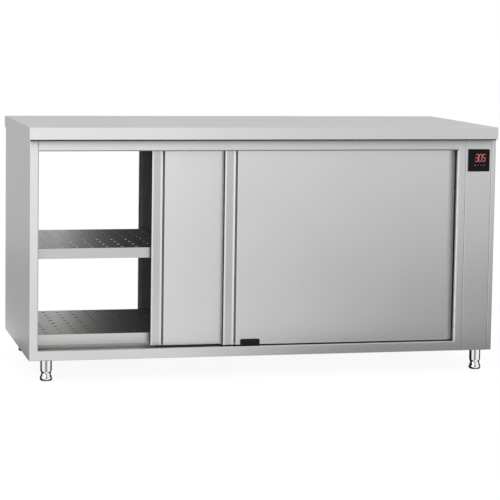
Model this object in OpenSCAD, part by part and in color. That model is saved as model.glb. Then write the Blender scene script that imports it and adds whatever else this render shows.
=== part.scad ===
// Pass-through hot cupboard in stainless sheet: two sliding doors at the front and two at the rear,
// a fan heater and its controller in a bay at the right end, and four levelling feet.
// Millimetres. X runs along the width, the front faces -Y, Z = 0 is the floor.

/* [Cabinet] */
// Overall width, over the worktop
unit_w = 1600; // [1400:10:1800]
// Overall depth, over the worktop
unit_d = 700; // [660:10:800]
// Floor to the underside of the body, feet screwed right in
leg_h = 74; // [68:1:110]
// Underside of the body to the underside of the worktop
body_h = 726; // [660:1:800]
// Thickness of the body's sheet
sheet = 1; // [0.8:0.1:1.3]
// Outside radius of a fold
bend_r = 2; // [1.6:0.1:3]
// Gap between pieces that sit side by side
fit = 0.3; // [0.2:0.05:0.4]

/* [Worktop] */
// Height of the worktop's folded edge
top_t = 40; // [36:1:50]
// Thickness of the worktop's sheet
top_sheet = 1.2; // [1:0.1:1.5]
// Overhang past the body at the front and rear
top_over_y = 10; // [8:1:20]
// Overhang past the body at each end
top_over_x = 2.5; // [2:0.5:6]
// How far the worktop's folded lip bears on the body
top_seat = 5; // [4:0.5:8]
// Thickness of the board under the sheet
core_t = 18; // [15:1:20]
// Gap round the board
core_gap = 1; // [0.5:0.1:3]
// Width of a stiffener under the board
rib_w = 60; // [40:1:80]
// Spacing of the three stiffeners
rib_pitch = 200; // [150:5:230]

/* [Walls] */
// Thickness of the left wall, which is also the left post's width
wall_t = 28; // [24:1:36]
// Width of the right posts
post_w = 25; // [20:1:30]
// Width of the control bay, from the chamber to its outer face
bay_w = 132.5; // [126:0.5:160]
// Front and rear returns of the right side panel
return_w = 16; // [14:1:20]
// Inner lips of the folded panels
fold_lip = 12; // [10:1:16]
// Lips of the left side panel, which line the ends of the opening
reveal_d = 20; // [14:1:40]

/* [Rails] */
// Height of the rails over the doors
top_rail_h = 36.5; // [34:0.5:50]
// Height of the rails under the doors
bottom_rail_h = 32.5; // [30:0.5:50]
// Depth of a rail's flanges
rail_d = 12; // [8:0.5:12.5]
// Drop from the bottom rail to the chamber floor
floor_drop = 6; // [6:0.5:12]
// Down-turned edge of the floor
floor_edge = 14; // [12:0.5:15]
// Width of a cross member's channel
cross_w = 40; // [40:1:46]
// Flanges of a cross member
cross_flange = 9; // [6:0.5:10]

/* [Doors] */
// Thickness of a door
door_t = 18; // [17:0.5:22]
// Frame's face to the outer door's face
door_recess = 18; // [18:0.5:26]
// Gap between the outer and the inner door
lane_gap = 6; // [5:0.5:10]
// Gap between a closed door and its post
door_gap = 5; // [3:0.5:10]
// Overlap of the two doors when both are closed
door_overlap = 184; // [60:1:240]
// Gap between a door and the level of the bottom rail
door_lift = 3.5; // [0.5:0.5:6]
// Opening of the front left door
front_left_open = 378; // [0:1:500]
// Opening of the rear left door
rear_left_open = 445; // [0:1:500]
// Width of the grip strip
grip_w = 36; // [30:0.5:44]
// Width of the bevel at the strip's edge
grip_edge = 4.5; // [3:0.5:8]
// Depth of that bevel
grip_edge_d = 2.5; // [1.5:0.5:5]
// Depth of the grip strip's hollow
grip_dip = 4; // [2:0.5:5]
// Width of the strip's rise beside the groove
grip_rise = 6.5; // [6:0.5:10]
// Width of the groove beside the grip strip
groove_w = 6.5; // [5:0.5:8]
// Depth of that groove
groove_d = 8; // [5:0.5:9]
// Taper of each side of the groove
groove_taper = 0.75; // [0.5:0.05:0.9]
// Width of the bevel at the far edge
bevel_w = 24; // [12:1:30]
// Depth of that bevel
bevel_d = 8; // [4:0.5:9]
// Lips that hold the back of a door
door_lip = 14; // [10:1:20]
// Outside radius of a door's folds
door_bend = 1.5; // [1.5:0.1:1.8]

/* [Hanging gear] */
// Wall of the upper track
track_wall = 1.6; // [1.2:0.1:2]
// Height of the running lip over the track's underside
track_lip = 6.2; // [4.5:0.1:8]
// Room between a roller and the track over it
track_head = 1.9; // [1:0.1:4]
// Reach of the track in front of the doors
track_lead = 2; // [1.5:0.1:3]
// Gap between a door's top and the track
door_head = 2; // [2:0.1:4]
// Radius of a roller
roller_r = 10; // [9:0.25:11]
// Width of a roller
roller_w = 7; // [6:0.1:7.5]
// Depth of a roller's groove
roller_groove = 2; // [1.5:0.1:2.5]
// Radius of a roller's axle
axle_r = 2.5; // [2:0.1:3]
// Running gap between axle and roller
axle_play = 0.05; // [0.03:0.01:0.1]
// Thickness of an axle's head
axle_head = 1.5; // [1:0.1:2]
// Collar between hanger and roller
collar_t = 1; // [0.8:0.1:1.5]
// Thickness of a hanger
hanger_t = 2; // [1.5:0.1:2.5]
// Width of a hanger
hanger_w = 44; // [36:1:54]
// Door's edge to the middle of a hanger
hanger_inset = 45; // [40:1:80]
// Door's back to the middle of a hanger
hanger_back = 4; // [3:0.1:4.5]
// Width of a bottom guide
guide_w = 66; // [40:1:90]
// Height of a bottom guide over the rail
guide_rise = 22; // [14:0.5:30]
// Thickness of a guide's outer fins
guide_fin = 3.5; // [2.5:0.1:4]
// Gap between a guide and a door
guide_play = 1.2; // [0.8:0.1:1.6]
// Thickness of a guide's base
guide_base = 4; // [3:0.1:5]
// Radius of a guide's upper corners
guide_corner = 5; // [2:0.5:8]

/* [Shelves] */
// Gap at each end of a shelf
shelf_gap = 2; // [1:0.5:6]
// Height of a shelf's folded edge
shelf_lip = 35; // [25:1:45]
// Chamber floor to the top of the middle shelf
mid_rise = 336.5; // [200:0.5:500]
// Gap between the middle shelf and the inner doors
mid_gap = 5; // [2:0.5:60]
// How far the bottom shelf's edges stand back from those of the middle shelf
low_back = 15; // [8:0.5:60]
// Gap between the chamber floor and the bottom shelf's edges
low_gap = 12.5; // [8:0.5:30]
// Radius of the shelf holes
hole_r = 6.5; // [3:0.5:8]
// Spacing of the holes along a shelf
hole_pitch = 50; // [40:1:80]
// Spacing of the hole rows on the middle shelf
mid_pitch = 70; // [40:1:90]
// Spacing of the hole rows on the bottom shelf
low_pitch = 62; // [40:1:90]
// Least distance from a hole to a shelf's edge
hole_edge = 27.5; // [22:0.5:50]
// Legs of the angles that carry the shelves
angle_w = 20; // [15:1:30]

/* [Control bay] */
// Side of the controller's square face
ctrl_w = 76; // [60:1:80]
// Controller's rim in front of the fascia
ctrl_t = 4; // [3:0.5:6]
// Rim round the controller's window
ctrl_rim = 3; // [2:0.5:6]
// How far the rim laps over the fascia's cut-out
ctrl_lap = 3; // [2:0.5:5]
// Depth of the controller behind the fascia
ctrl_d = 60; // [40:1:90]
// Thickness of the controller's window
window_t = 1.6; // [1:0.1:2.5]
// Worktop's underside to the middle of the controller
ctrl_drop = 72.5; // [50:0.5:200]
// Louvres in each of the two groups at the rear
louvre_n = 6; // [3:1:8]
// Length of a louvre
louvre_w = 60; // [40:1:66]
// Height of a louvre
louvre_r = 5; // [4:0.5:6]
// Spacing of the louvres
louvre_pitch = 17; // [14:1:22]
// Distance of each group from the body's end
louvre_end = 50; // [40:1:100]
// Radius of the cable that the gland takes
gland_r = 6; // [4:0.5:7]
// Radius of the gland's thread
gland_thread = 10; // [9.5:0.1:12]
// Height of the gland's nut
gland_nut = 12; // [8:0.5:14]
// Gland's place behind the middle of the bay
gland_y = 200; // [160:1:220]

/* [Fan heater] */
// Chamber floor to the fan's axis
fan_rise = 201; // [170:1:300]
// Radius of the fan
fan_r = 75; // [60:1:80]
// Width of the fan
fan_t = 34; // [25:1:38]
// Number of fan blades
fan_blades = 20; // [12:1:28]
// Radius of the fan's shaft
shaft_r = 4; // [3:0.25:5]
// Depth of the air duct
duct_d = 52; // [48:1:56]
// Height and width of the air duct
duct_w = 280; // [250:5:320]
// Radius of the motor
motor_r = 42; // [36:1:50]
// Length of the motor
motor_l = 46; // [36:1:52]
// Radius of the heating element's ring
ring_r = 95; // [90:1:105]
// Radius of the element's tube
tube_r = 4; // [3:0.25:5]
// Radius of the air holes in front of the fan
vent_r = 5; // [3:0.5:6]
// Half of the angle that the ring leaves open
ring_gap = 14; // [10:1:30]
// Radius of the temperature probe
probe_r = 3; // [2:0.25:4]
// Length of the probe in the chamber
probe_in = 40; // [20:1:80]
// Length of the probe in the bay
probe_out = 20; // [15:1:40]
// Height of the probe over the duct and the middle shelf
probe_rise = 120; // [40:1:130]

/* [Legs] */
// Left wall to the left legs
leg_left = 34.5; // [30:0.5:60]
// Right end of the worktop to the right legs
leg_right = 42; // [36:1:70]
// Worktop's edge to the legs, front and rear
leg_y = 60; // [48:1:100]
// Radius of a leg's tube
leg_r = 19; // [18:0.5:19.5]
// Wall of a leg's tube
leg_wall = 1.5; // [1:0.1:2.5]
// Floor to the lower end of a leg's tube
foot_h = 34; // [28:1:38]
// Radius of a foot's flare
foot_r = 20.5; // [19:0.5:24]
// Radius of a foot's waist
waist_r = 16; // [13:0.5:17]
// Radius of a foot's levelling screw
stem_r = 6; // [5:0.5:8]
// Length of the levelling screw's seat
seat_l = 18; // [12:1:24]
// Thickness of a leg's cap
leg_cap = 4; // [3:0.5:6]
// Room over the levelling screw, under the cap
stem_room = 6; // [3:0.5:10]

/* [Hidden] */
$fn = 48;
bend_n = 4;

// Planes of the body
x_left = -unit_w/2 + top_over_x;
x_right = unit_w/2 - top_over_x;
y_front = -unit_d/2 + top_over_y;
y_rear = -y_front;
z_low = leg_h;
z_top = leg_h + body_h;

// Door opening, the same at the front and rear
open_x0 = x_left + wall_t;
open_x1 = x_right - bay_w;
open_mid = (open_x0 + open_x1)/2;
z_rail = z_low + bottom_rail_h;
z_floor = z_rail - floor_drop;

// Control bay
bay_x0 = open_x1 + sheet;
bay_x1 = x_right - sheet;
fascia_x0 = open_x1 + post_w + fit;
fascia_x1 = x_right - return_w - fit;
fascia_mid = (fascia_x0 + fascia_x1)/2;
ctrl_z = z_top - ctrl_drop;
ctrl_body = ctrl_w - 2*ctrl_lap;

// Hanging gear, with depths counted back from the face of the door it carries
track_h = track_wall + track_head + 2*roller_r - roller_groove + fit + track_lip;
hanger_y = door_t - hanger_back;
collar_y = hanger_y - hanger_t/2 - collar_t;
roller_y = collar_y - fit - roller_w/2;
axle_z = z_top - track_wall - track_head - roller_r;
axle_end = roller_y - roller_w/2 - fit - axle_head;

// Doors
lane = door_t + lane_gap;
door_w = (open_x1 - open_x0 - 2*door_gap + door_overlap)/2;
door_z0 = z_rail + door_lift;
door_z1 = z_top - track_h - door_head;
closed_left = open_x0 + door_gap;
closed_right = open_x1 - door_gap - door_w;

// Shelves
shelf_x0 = open_x0 + shelf_gap;
shelf_x1 = open_x1 - shelf_gap;
mid_z = z_floor + mid_rise;
low_z = z_floor + low_gap + shelf_lip;
mid_d = 2*(y_rear - door_recess - lane - door_t - mid_gap);
low_d = mid_d - 2*low_back;

// Fan heater
fan_z = z_floor + fan_rise;
duct_x = bay_x0 + duct_d;
fan_x = bay_x0 + (duct_d - sheet - fan_t)/2;
ring_x = fan_x + fan_t/2;
shaft_x = [fan_x + fan_t/6, duct_x + motor_l/2];
probe_z = max(fan_z + duct_w/2, mid_z) + probe_rise;
block_z = probe_z + 40;

// Legs
leg_x = [open_x0 + leg_left, unit_w/2 - leg_right];
leg_ys = [-unit_d/2 + leg_y, unit_d/2 - leg_y];

// Worktop
lip_x = top_over_x + top_seat;
lip_y = top_over_y + top_seat;
core_z = z_top + top_t - top_sheet - core_t;

// Colours
steel = [0.76, 0.77, 0.78];
bright = [0.86, 0.87, 0.88];
inner = [0.62, 0.63, 0.64];
zinc = [0.68, 0.7, 0.72];
black = [0.07, 0.07, 0.08];
glass = [0.03, 0.03, 0.04];
board = [0.72, 0.6, 0.42];
brown = [0.32, 0.24, 0.2];
white = [0.9, 0.9, 0.86];

// Folded sheet: a path along one face, its corners rounded, and the sheet's thickness on its left
function unit(v) = v/norm(v);

function corner(a, b, c, r) =
    let (u = unit(a - b),
         v = unit(c - b),
         half = acos(u*v)/2,
         p = b + u*r/tan(half),
         q = b + v*r/tan(half),
         mid = b + unit(u + v)*r/sin(half),
         s = p - mid,
         e = q - mid,
         start = atan2(s[1], s[0]),
         sweep = atan2(s[0]*e[1] - s[1]*e[0], s*e))
    [for (i = [0:bend_n]) mid + r*[cos(start + sweep*i/bend_n), sin(start + sweep*i/bend_n)]];

function bent(path, r) =
    let (last = len(path) - 1)
    concat([path[0]],
           [for (i = [1:last - 1]) each corner(path[i - 1], path[i], path[i + 1], r)],
           [path[last]]);

function side_of(a, b) = let (d = unit(b - a)) [-d[1], d[0]];

function beside(path, t) =
    let (last = len(path) - 1)
    [for (i = [0:last])
        let (n0 = side_of(path[max(i - 1, 0)], path[max(i, 1)]),
             n1 = side_of(path[min(i, last - 1)], path[min(i + 1, last)]))
        path[i] + (n0 + n1)*t/(1 + n0*n1)];

module fold(path, t = sheet, r = bend_r) {
    face = bent(path, r);
    back = beside(face, t);
    polygon(concat(face, [for (i = [len(back) - 1:-1:0]) back[i]]));
}

// Profiles carried along an axis: (y, z) along X, (x, z) along Y, (x, y) along Z
module run_x(x0, x1) {
    translate([x0, 0, 0]) rotate([90, 0, 90]) linear_extrude(x1 - x0) children();
}

module run_y(y0, y1) {
    translate([0, y1, 0]) rotate([90, 0, 0]) linear_extrude(y1 - y0) children();
}

module run_z(z0, z1) {
    translate([0, 0, z0]) linear_extrude(z1 - z0) children();
}

// A box between two corners
module span(a, b) {
    translate(a) cube(b - a);
}

// A rectangle whose upper corners are rounded
module round_top(w, h, r) {
    square([w, h - r]);
    translate([r, 0]) square([w - 2*r, h]);
    for (x = [r, w - r]) translate([x, h - r]) circle(r);
}

// A rectangle on the origin with all its corners rounded
module round_plate(w, h, r) {
    for (s = [[w - 2*r, h], [w, h - 2*r]]) square(s, center = true);
    for (x = [-1, 1], y = [-1, 1]) translate([x*(w/2 - r), y*(h/2 - r)]) circle(r);
}

// Turns a front piece into the matching rear one
module about_face() {
    translate([2*open_mid, 0, 0]) rotate([0, 0, 180]) children();
}

// Worktop
module top_block(inset, height) {
    w = unit_w - 2*inset;
    d = unit_d - 2*inset;
    r = bend_r - inset;
    intersection() {
        run_x(-w/2, w/2) translate([-d/2, z_top]) round_top(d, height, r);
        run_y(-d/2, d/2) translate([-w/2, z_top]) round_top(w, height, r);
    }
}

module worktop() color(steel) {
    difference() {
        top_block(0, top_t);
        top_block(top_sheet, top_t - top_sheet);
    }
    run_z(z_top, z_top + top_sheet) difference() {
        square([unit_w - top_sheet, unit_d - top_sheet], center = true);
        square([unit_w - 2*lip_x, unit_d - 2*lip_y], center = true);
    }
}

module worktop_core() color(board) {
    gap = 2*(top_sheet + core_gap);
    run_z(core_z, core_z + core_t) square([unit_w - gap, unit_d - gap], center = true);
}

module worktop_stiffeners() color(zinc) {
    half = rib_w/2;
    end = unit_w/2 - lip_x - fit;
    z0 = z_top + sheet;
    z1 = core_z - sheet;
    for (i = [-1:1]) translate([0, i*rib_pitch, 0]) run_x(-end, end)
        fold([[-half - fold_lip, z1], [-half, z1], [-half, z0],
              [half, z0], [half, z1], [half + fold_lip, z1]]);
}

// Walls of the body
module left_side_panel() color(steel) {
    run_z(z_low, z_top)
        fold([[open_x0, y_rear - reveal_d], [open_x0, y_rear], [x_left, y_rear],
              [x_left, y_front], [open_x0, y_front], [open_x0, y_front + reveal_d]]);
}

module left_lining() color(inner) {
    y = y_rear - reveal_d - fit;
    run_z(z_low, z_top)
        fold([[open_x0 - fold_lip, -y], [open_x0, -y], [open_x0, y], [open_x0 - fold_lip, y]]);
}

module right_side_panel() color(steel) {
    x = x_right - return_w;
    run_z(z_low, z_top)
        fold([[x, y_front + fold_lip], [x, y_front], [x_right, y_front],
              [x_right, y_rear], [x, y_rear], [x, y_rear - fold_lip]]);
}

// Air openings between the chamber and the duct: rings of holes at the fan, slots above and below
module air_openings() {
    hole_step = fan_r/5;
    slot = [duct_w/2, 8];
    slot_step = 2*slot[1];
    rotate([90, 0, 90]) linear_extrude(sheet*4, center = true) {
        for (n = [1:4], i = [1:6*n]) rotate(i*60/n) translate([n*hole_step, 0]) circle(vent_r);
        circle(vent_r);
        for (s = [-1, 1], i = [1:2]) translate([0, s*(duct_w/2 - i*slot_step)]) square(slot, center = true);
    }
}

module partition_panel() color(steel) {
    x = open_x1 + post_w;
    difference() {
        run_z(z_low, z_top)
            fold([[x, y_rear - fold_lip], [x, y_rear], [open_x1, y_rear],
                  [open_x1, y_front], [x, y_front], [x, y_front + fold_lip]]);
        translate([open_x1, 0, fan_z]) air_openings();
        translate([open_x1 - sheet, 0, probe_z]) rotate([0, 90, 0]) cylinder(r = probe_r + fit, h = 3*sheet);
    }
}

module bay_cover_profile() {
    fold([[fascia_x0, y_front + fold_lip], [fascia_x0, y_front], [fascia_x1, y_front],
          [fascia_x1, y_front + fold_lip]]);
}

module control_fascia() color(steel) {
    cut = ctrl_body + 2*fit;
    difference() {
        run_z(z_low, z_top) bay_cover_profile();
        translate([fascia_mid - cut/2, y_front - sheet, ctrl_z - cut/2]) cube([cut, 3*sheet, cut]);
    }
}

module louvre_hood() {
    difference() {
        intersection() {
            rotate([0, 90, 0]) cylinder(r = louvre_r, h = louvre_w, center = true);
            translate([-louvre_w/2, 0, 0]) cube([louvre_w, louvre_r, louvre_r]);
        }
        rotate([0, 90, 0]) cylinder(r = louvre_r - sheet, h = louvre_w - 2*sheet, center = true);
    }
}

module bay_rear_cover() color(steel) {
    first = louvre_end - louvre_r;
    group = [for (i = [0:louvre_n - 1]) first + i*louvre_pitch];
    heights = concat([for (h = group) z_low + h], [for (h = group) z_top - louvre_r - h]);
    slot = [louvre_w - 2*sheet, 3*sheet, louvre_r - sheet];
    difference() {
        run_z(z_low, z_top) mirror([0, 1, 0]) bay_cover_profile();
        for (z = heights) translate([fascia_mid - slot[0]/2, y_rear - 2*sheet, z]) cube(slot);
    }
    for (z = heights) translate([fascia_mid, y_rear, z]) louvre_hood();
}

module bay_floor() color(zinc) {
    y = y_rear - fold_lip - fit;
    x0 = bay_x0 + fit;
    x1 = bay_x1 - fit;
    difference() {
        run_y(-y, y) fold([[x0, z_low + fold_lip], [x0, z_low], [x1, z_low], [x1, z_low + fold_lip]]);
        translate([fascia_mid, gland_y, z_low - sheet]) cylinder(r = gland_thread + fit, h = 3*sheet);
    }
}

module ceiling_panel() color(inner) {
    x = -unit_w/2 + lip_x + fit;
    y = unit_d/2 - lip_y - fit;
    span([x, -y, z_top], [open_x1 + post_w, y, z_top + sheet]);
}

// Rails and base
module top_rail() {
    run_x(open_x0 + fit, open_x1 - fit)
        fold([[y_front + rail_d, z_top], [y_front, z_top],
              [y_front, z_top - top_rail_h], [y_front + rail_d, z_top - top_rail_h]]);
}

module bottom_rail() {
    run_x(open_x0 + fit, open_x1 - fit)
        fold([[y_front + rail_d, z_low], [y_front, z_low], [y_front, z_rail],
              [y_front + rail_d, z_rail], [y_front + rail_d, z_floor - floor_edge/2]], -sheet);
}

module front_top_rail() color(steel) top_rail();
module rear_top_rail() color(steel) about_face() top_rail();
module front_bottom_rail() color(steel) bottom_rail();
module rear_bottom_rail() color(steel) about_face() bottom_rail();

module floor_pan() color(inner) {
    y = y_rear - rail_d - fit;
    run_x(open_x0 + fit, open_x1 - fit)
        fold([[-y, z_floor - floor_edge], [-y, z_floor], [y, z_floor], [y, z_floor - floor_edge]], -sheet);
}

module cross_members() color(zinc) {
    half = cross_w/2;
    z1 = z_floor - 2*sheet;
    y = y_rear - rail_d - bend_r - 2*fit;
    third = (open_x1 - leg_x[0])/3;
    for (i = [0:2]) translate([leg_x[0] + i*third, 0, 0]) run_y(-y, y)
        fold([[-half - cross_flange, z1], [-half, z1], [-half, z_low],
              [half, z_low], [half, z1], [half + cross_flange, z1]]);
}

// Upper double track: a web under the ceiling, and for each door a leg, a flange and a running lip
module track() {
    y0 = y_front + door_recess;
    z0 = z_top - track_h;
    run_x(open_x0 + fit, open_x1 - fit) {
        translate([y0 - track_lead, z_top - track_wall]) square([track_lead + lane + door_t, track_wall]);
        for (i = [0, 1]) translate([y0 + i*lane, z0]) {
            translate([-track_lead, 0]) square([track_wall, track_h]);
            translate([-track_lead, 0]) square([track_lead + roller_y + track_wall/2, track_wall]);
            translate([roller_y - track_wall/2, 0]) square([track_wall, track_lip - track_wall/2]);
            translate([roller_y, track_lip - track_wall/2]) circle(track_wall/2);
        }
    }
}

module front_track() color(zinc) track();
module rear_track() color(zinc) about_face() track();

// Rubber stops at both ends of each lane, where a hanger meets them with its door shut
module stops() {
    length = hanger_inset - hanger_w/2 + door_gap - 2*fit;
    depth = [hanger_y - hanger_t/2, door_t];
    z0 = axle_z - roller_r/2;
    z1 = z_top - track_wall;
    for (i = [0, 1], x = [open_x0 + fit, open_x1 - fit - length])
        translate([0, y_front + door_recess + i*lane, 0])
            span([x, depth[0], z0], [x + length, depth[1], z1]);
}

module track_stops() color(black) {
    stops();
    about_face() stops();
}

// Guide on the chamber floor at the middle of the opening: fins before, between and behind the doors
module guide() {
    top = z_rail + guide_rise - z_floor;
    fins = [[-guide_play - guide_fin, -guide_play],
            [door_t + guide_play, lane - guide_play],
            [lane + door_t + guide_play, lane + door_t + guide_play + guide_fin]];
    translate([open_mid - guide_w/2, y_front + door_recess, z_floor]) {
        for (f = fins) run_y(f[0], f[1]) round_top(guide_w, top, guide_corner);
        span([0, fins[0][0], 0], [guide_w, fins[2][1], guide_base]);
    }
}

module door_guides() color(black) {
    guide();
    about_face() guide();
}

// Perforated shelves with folded edges
module shelf(depth, z, pitch) {
    w = shelf_x1 - shelf_x0;
    half = depth/2;
    flat = half - 4*bend_r;
    z0 = z - shelf_lip;
    columns = floor((w - 2*hole_edge)/hole_pitch + 0.01);
    rows = floor((depth - 2*hole_edge)/pitch + 0.01);
    run_x(shelf_x0, shelf_x1) {
        fold([[-half, z0], [-half, z], [-flat, z]], -sheet);
        fold([[half, z0], [half, z], [flat, z]]);
    }
    for (x = [shelf_x0, shelf_x1 - sheet])
        span([x, -half + bend_r, z0], [x + sheet, half - bend_r, z - sheet/2]);
    run_z(z - sheet, z) difference() {
        translate([shelf_x0, -flat]) square([w, 2*flat]);
        for (i = [0:columns], j = [0:rows])
            translate([(shelf_x0 + shelf_x1)/2 + (i - columns/2)*hole_pitch, (j - rows/2)*pitch]) circle(hole_r);
    }
}

module middle_shelf() color(steel) shelf(mid_d, mid_z, mid_pitch);
module bottom_shelf() color(steel) shelf(low_d, low_z, low_pitch);

// Angles: on the end walls for the middle shelf, along the chamber floor for the bottom one
module shelf_angles() color(inner) {
    half = mid_d/2 - fold_lip;
    z = mid_z - shelf_lip;
    run_y(-half, half) {
        fold([[open_x0, z - angle_w], [open_x0, z], [open_x0 + angle_w, z]], -sheet);
        fold([[open_x1, z - angle_w], [open_x1, z], [open_x1 - angle_w, z]]);
    }
    edge = low_d/2;
    foot = edge - angle_w;
    top = low_z - shelf_lip;
    run_x(open_x0 + fit, open_x1 - fit) {
        fold([[-foot, z_floor], [-foot, top], [-edge, top]], sheet);
        fold([[foot, z_floor], [foot, top], [edge, top]], -sheet);
    }
}

// Controller and what it switches
module controller_housing() color(black) {
    recess = ctrl_w - 2*ctrl_rim;
    translate([fascia_mid, y_front, ctrl_z]) rotate([90, 0, 0]) {
        difference() {
            linear_extrude(ctrl_t) round_plate(ctrl_w, ctrl_w, ctrl_rim);
            translate([-recess/2, -recess/2, ctrl_t - window_t]) cube([recess, recess, 2*window_t]);
        }
        translate([-ctrl_body/2, -ctrl_body/2, -ctrl_d]) cube([ctrl_body, ctrl_body, ctrl_d]);
    }
}

module controller_window() color(glass) {
    side = ctrl_w - 2*ctrl_rim - 2*fit;
    translate([fascia_mid - side/2, y_front - ctrl_t, ctrl_z - side/2]) cube([side, window_t, side]);
}

module temperature_probe() color(bright) {
    nut = 2*probe_r;
    nut_t = 4;
    translate([open_x1, 0, probe_z]) rotate([0, 90, 0]) {
        translate([0, 0, -probe_in]) cylinder(r = probe_r, h = probe_in + probe_out);
        for (z = [-nut_t, sheet]) translate([0, 0, z]) cylinder(r = nut, h = nut_t, $fn = 6);
    }
}

module terminal_block() color(white) {
    size = [24, 84, 26];
    ways = 6;
    step = size[1]/ways;
    well = 3.5;
    translate([bay_x0, -size[1]/2, block_z]) difference() {
        cube(size);
        for (i = [0:ways - 1]) translate([size[0]/2, (i + 0.5)*step, size[2]/2])
            rotate([0, 90, 0]) cylinder(r = well, h = size[0]);
    }
}

module cable_gland() color(black) {
    mouth = gland_r + 2.5;
    hex = gland_thread + 4;
    translate([fascia_mid, gland_y, z_low]) difference() {
        union() {
            translate([0, 0, -2*gland_nut]) cylinder(r1 = mouth, r2 = gland_thread, h = gland_nut);
            translate([0, 0, -gland_nut]) cylinder(r = hex, h = gland_nut, $fn = 6);
            translate([0, 0, -gland_nut]) cylinder(r = gland_thread, h = 2*gland_nut);
            translate([0, 0, sheet]) cylinder(r = hex, h = gland_nut/2, $fn = 6);
        }
        translate([0, 0, -3*gland_nut]) cylinder(r = gland_r, h = 6*gland_nut);
    }
}

// Fan heater behind the partition
module air_duct() color(zinc) {
    half = duct_w/2;
    edge = half + fold_lip;
    hole = tube_r + fit;
    difference() {
        union() {
            span([bay_x0, -half, fan_z - half], [duct_x, half, fan_z + half]);
            span([bay_x0, -edge, fan_z - edge], [bay_x0 + sheet, edge, fan_z + edge]);
        }
        span([bay_x0 - sheet, -half + sheet, fan_z - half + sheet],
             [duct_x - sheet, half - sheet, fan_z + half - sheet]);
        translate([duct_x - 2*sheet, 0, fan_z]) rotate([0, 90, 0]) {
            cylinder(r = 2*shaft_r, h = 4*sheet);
            for (s = [-1, 1]) rotate(s*ring_gap) translate([ring_r, 0, 0]) cylinder(r = hole, h = 4*sheet);
        }
    }
}

module ring_element() color(brown) {
    legs = duct_x - ring_x + 4*tube_r;
    pin = 10;
    elbow = 0.2;
    translate([ring_x, 0, fan_z]) rotate([0, 90, 0]) {
        rotate(ring_gap) rotate_extrude(angle = 360 - 2*ring_gap) translate([ring_r, 0]) circle(tube_r);
        for (s = [-1, 1]) rotate(s*ring_gap) translate([ring_r, 0, 0]) {
            sphere(tube_r + elbow);
            cylinder(r = tube_r, h = legs);
            cylinder(r = tube_r/2, h = legs + pin);
        }
    }
}

module fan_motor() color(zinc) {
    flange = [motor_r + 8, 3];
    boss = 6;
    rib = [5, 6, motor_l - boss];
    shaft_room = 6;
    translate([duct_x, 0, fan_z]) rotate([0, 90, 0]) difference() {
        union() {
            cylinder(r = flange[0], h = flange[1]);
            cylinder(r = motor_r, h = motor_l);
            translate([0, 0, motor_l]) cylinder(r = motor_r/2, h = boss);
            for (i = [0:5]) rotate(i*60) translate([motor_r - 2, -rib[1]/2, 0]) cube(rib);
        }
        translate([0, 0, -1]) cylinder(r = shaft_r + axle_play, h = shaft_x[1] - duct_x + shaft_room + 1);
    }
}

module fan_shaft() color(bright) {
    translate([shaft_x[0], 0, fan_z]) rotate([0, 90, 0]) cylinder(r = shaft_r, h = shaft_x[1] - shaft_x[0]);
}

module fan_impeller() color(bright) {
    plate = 1.5;
    hub = 2.5*shaft_r;
    root = fan_r*0.55;
    blade = fan_r*0.4;
    translate([fan_x + fan_t, 0, fan_z]) rotate([0, -90, 0]) {
        linear_extrude(plate) difference() {
            circle(fan_r);
            circle(shaft_r);
        }
        linear_extrude(fan_t*0.6) difference() {
            circle(hub);
            circle(shaft_r);
        }
        linear_extrude(fan_t) for (i = [0:fan_blades - 1])
            rotate(i*360/fan_blades) translate([root, -plate/2]) rotate(20) square([blade, plate]);
        translate([0, 0, fan_t - plate]) linear_extrude(plate) difference() {
            circle(fan_r);
            circle(fan_r*0.85);
        }
    }
}

module safety_thermostat() color(black) {
    offset_y = duct_w/2 - 30;
    translate([duct_x, offset_y, fan_z + offset_y]) rotate([0, 90, 0]) {
        linear_extrude(1.5) round_plate(18, 32, 6);
        cylinder(r = 8, h = 10);
        for (s = [-1, 1]) translate([-3, s*4 - 0.4, 0]) cube([6, 0.8, 18]);
    }
}

// Legs
module leg_tube() {
    bore = stem_r + fit;
    inside = leg_r - leg_wall;
    under = z_low - leg_cap;
    rotate_extrude()
        polygon([[bore, foot_h], [leg_r, foot_h], [leg_r, z_low], [0, z_low], [0, under],
                 [inside, under], [inside, foot_h + seat_l], [bore, foot_h + seat_l]]);
}

module leg_tubes() color(bright) {
    for (x = leg_x, y = leg_ys) translate([x, y, 0]) leg_tube();
}

// Foot: a rounded base, a flare that narrows to a waist, a collar under the tube, and its screw
function swell(r0, r1, z0, z1, n) =
    [for (i = [0:n]) [r0 + (r1 - r0)*(1 - cos(180*i/n))/2, z0 + (z1 - z0)*i/n]];

module foot() {
    base_z = foot_r*0.35;
    waist_z = foot_h*0.74;
    top = foot_h - fit;
    collar = leg_r - 2*fit;
    toe = 6;
    stem_top = z_low - leg_cap - stem_room;
    sole = [for (i = [0:5]) [foot_r - toe + toe*sin(18*i), base_z*(1 - cos(18*i))]];
    rotate_extrude()
        polygon(concat([[0, 0]], sole, swell(foot_r, waist_r, base_z + 2, waist_z, 8),
                       swell(waist_r, collar, waist_z + 0.5, top - 1, 6), [[collar, top]],
                       [[stem_r, top], [stem_r, stem_top], [0, stem_top]]));
}

module foot_at(i, j) color(bright) translate([leg_x[i], leg_ys[j], 0]) foot();

module foot_front_left() foot_at(0, 0);
module foot_front_right() foot_at(1, 0);
module foot_rear_left() foot_at(0, 1);
module foot_rear_right() foot_at(1, 1);

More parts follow.
